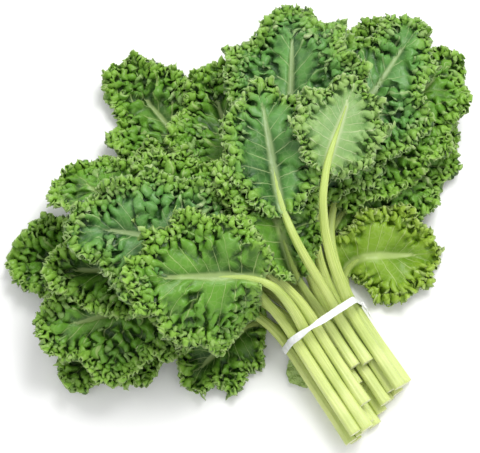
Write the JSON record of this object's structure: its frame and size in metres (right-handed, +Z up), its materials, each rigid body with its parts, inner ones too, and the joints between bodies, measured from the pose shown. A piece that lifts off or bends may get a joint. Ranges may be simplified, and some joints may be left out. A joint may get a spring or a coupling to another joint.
{
  "type": "bunch of curly kale",
  "caption": "Bunch of curly kale leaves with frilled green blades on pale stalks, held by a white paper twist tie, lying on its side.",
  "frame": {"origin": "centre of the bunch's bounding box in plan, on the surface that it lies on", "axes": "+Y from the cut stalk ends to the leaf tips, +X across the fan of leaves, +Z up from the surface"},
  "size_m": [0.4266, 0.3746, 0.1307],
  "materials": {
    "kale_blade": "green frilled leaf blade, softly waxy, paler veins",
    "kale_blade_young": "thin yellow-green leaf blade",
    "kale_stalk": "pale green juicy stalk and midrib with fine lengthwise ridges",
    "tie_paper": "matte white paper over a thin wire"
  },
  "bodies": {
    "root": {"leaf_01_blade": "kale_blade", "leaf_01_leaflet": "kale_blade", "leaf_01_stalk": "kale_stalk", "leaf_02_blade": "kale_blade", "leaf_02_stalk": "kale_stalk", "leaf_03_blade": "kale_blade", "leaf_03_stalk": "kale_stalk", "leaf_04_blade": "kale_blade", "leaf_04_stalk": "kale_stalk", "leaf_05_blade": "kale_blade", "leaf_05_stalk": "kale_stalk", "leaf_06_blade": "kale_blade", "leaf_06_stalk": "kale_stalk", "leaf_07_blade": "kale_blade_young", "leaf_07_stalk": "kale_stalk", "leaf_08_blade": "kale_blade", "leaf_08_stalk": "kale_stalk", "leaf_09_blade": "kale_blade", "leaf_09_stalk": "kale_stalk", "leaf_10_blade": "kale_blade", "leaf_10_stalk": "kale_stalk", "leaf_11_blade": "kale_blade", "leaf_11_stalk": "kale_stalk", "leaf_12_blade": "kale_blade", "leaf_12_stalk": "kale_stalk", "leaf_13_blade": "kale_blade", "leaf_13_stalk": "kale_stalk", "leaf_14_blade": "kale_blade", "leaf_14_stalk": "kale_stalk", "leaf_15_blade": "kale_blade", "leaf_15_stalk": "kale_stalk", "leaf_16_blade": "kale_blade", "leaf_16_stalk": "kale_stalk", "leaf_17_blade": "kale_blade", "leaf_17_stalk": "kale_stalk", "leaf_18_blade": "kale_blade", "leaf_18_stalk": "kale_stalk", "leaf_19_blade": "kale_blade", "leaf_19_stalk": "kale_stalk", "leaf_20_blade": "kale_blade", "leaf_20_stalk": "kale_stalk", "twist_tie": "tie_paper"}
  },
  "joints": []
}
